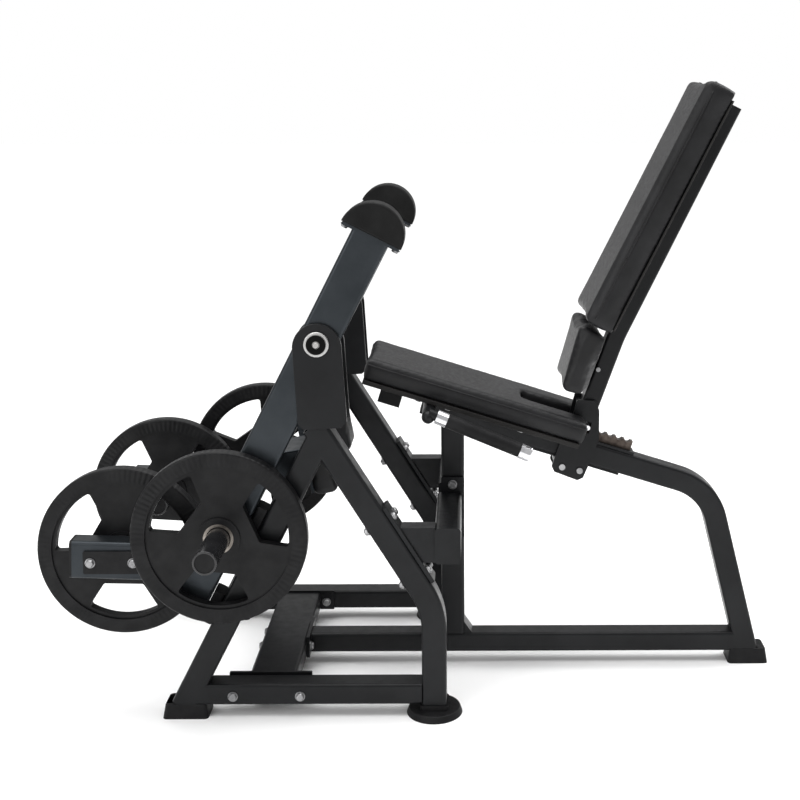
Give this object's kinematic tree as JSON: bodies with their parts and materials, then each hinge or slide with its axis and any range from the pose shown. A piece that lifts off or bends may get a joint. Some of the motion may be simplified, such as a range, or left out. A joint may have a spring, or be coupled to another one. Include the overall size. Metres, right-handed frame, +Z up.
{
  "type": "leg press machine",
  "caption": "Plate-loaded leg press machine with a reclined padded seat and sliding back rest, pivoting weighted levers with half-round rollers, and an open tube frame.",
  "frame": {"origin": "on the floor, below the centre of the machine's bounding box", "axes": "+Z up; the user faces -X, so the weights are towards -X and the back rest towards +X; Y runs across the machine"},
  "size_m": [1.602, 0.9, 1.3386],
  "materials": {
    "frame_black": "satin black powder coat",
    "lever_grey": "dark blue-grey metallic powder coat, satin",
    "plate_iron": "black rubber-coated casting, matt",
    "roller_rubber": "matt black moulded rubber",
    "foot_rubber": "matt black rubber",
    "grip_rubber": "matt black grip rubber",
    "vinyl": "black upholstery vinyl with a fine grain and stitched seams",
    "board": "black-faced board",
    "black_plastic": "black moulded plastic",
    "horn_steel": "polished steel tube, gloss black",
    "zinc": "zinc plated",
    "bushing_steel": "turned steel, slightly bronze",
    "chrome": "polished chrome"
  },
  "bodies": {
    "root": {"front_legs": "frame_black", "rear_legs": "frame_black", "base_beams": "frame_black", "clevis_plates": "frame_black", "front_cross_beam": "frame_black", "beam_flanges": "frame_black", "seat_rail": "frame_black", "centre_beam": "frame_black", "seat_post": "frame_black", "rubber_feet": "foot_rubber", "brace_flanges": "frame_black", "braces": "frame_black", "lever_stops": "foot_rubber", "pivot_shafts": "zinc", "pivot_bushes": "bushing_steel", "pivot_caps": "zinc", "seat_cushion": "vinyl", "seat_board": "board", "seat_front_block": "foot_rubber", "side_handles": "frame_black", "handle_chrome": "chrome", "handle_grips": "grip_rubber", "notched_rack": "bushing_steel", "rail_strips": "frame_black", "frame_bolts": "zinc"},
    "lever_near": {"lever_arm_near": "lever_grey", "lever_extension_near": "lever_grey", "half_roller_near": "roller_rubber", "shin_pad_tube_near": "lever_grey", "shin_pad_near": "vinyl", "lever_horns_near": "horn_steel", "lever_trim_near": "black_plastic", "lever_bolts_near": "zinc"},
    "lever_far": {"lever_arm_far": "lever_grey", "lever_extension_far": "lever_grey", "half_roller_far": "roller_rubber", "shin_pad_tube_far": "lever_grey", "shin_pad_far": "vinyl", "lever_horns_far": "horn_steel", "lever_trim_far": "black_plastic", "lever_bolts_far": "zinc"},
    "outer_weight_near": {"outer_plate_near": "plate_iron", "outer_plate_hub_near": "bushing_steel"},
    "inner_weight_near": {"inner_plate_near": "plate_iron", "inner_plate_hub_near": "bushing_steel"},
    "outer_weight_far": {"outer_plate_far": "plate_iron", "outer_plate_hub_far": "bushing_steel"},
    "inner_weight_far": {"inner_plate_far": "plate_iron", "inner_plate_hub_far": "bushing_steel"},
    "back_carriage": {"carriage_cheeks": "frame_black", "carriage_rollers": "zinc", "back_upright": "frame_black", "upright_foot": "frame_black", "upright_cap": "black_plastic", "back_cushion": "vinyl", "back_board": "board", "lumbar_cushion": "vinyl", "carriage_bolts": "zinc"},
    "latch": {"latch_bar": "chrome"}
  },
  "joints": [
    {"name": "lever_swing_near", "type": "hinge", "parent": "root", "child": "lever_near", "pos_m": [-0.195, -0.251, 0.8], "axis": [0, 1, 0], "range_deg": [0, 70]},
    {"name": "outer_weight_slide_near", "type": "slide", "parent": "lever_near", "child": "outer_weight_near", "axis": [0, -1, 0], "range_m": [0, 0.13]},
    {"name": "inner_weight_slide_near", "type": "slide", "parent": "lever_near", "child": "inner_weight_near", "axis": [0, 1, 0], "range_m": [0, 0.09]},
    {"name": "lever_swing_far", "type": "hinge", "parent": "root", "child": "lever_far", "pos_m": [-0.195, 0.251, 0.8], "axis": [0, 1, 0], "range_deg": [0, 70]},
    {"name": "outer_weight_slide_far", "type": "slide", "parent": "lever_far", "child": "outer_weight_far", "axis": [0, 1, 0], "range_m": [0, 0.13]},
    {"name": "inner_weight_slide_far", "type": "slide", "parent": "lever_far", "child": "inner_weight_far", "axis": [0, -1, 0], "range_m": [0, 0.09]},
    {"name": "back_slide", "type": "slide", "parent": "root", "child": "back_carriage", "axis": [0.9548, 0, -0.2974], "range_m": [-0.0796, 0.0597]},
    {"name": "latch_lift", "type": "slide", "parent": "back_carriage", "child": "latch", "axis": [0.2974, 0, 0.9548], "range_m": [0, 0.007]}
  ]
}
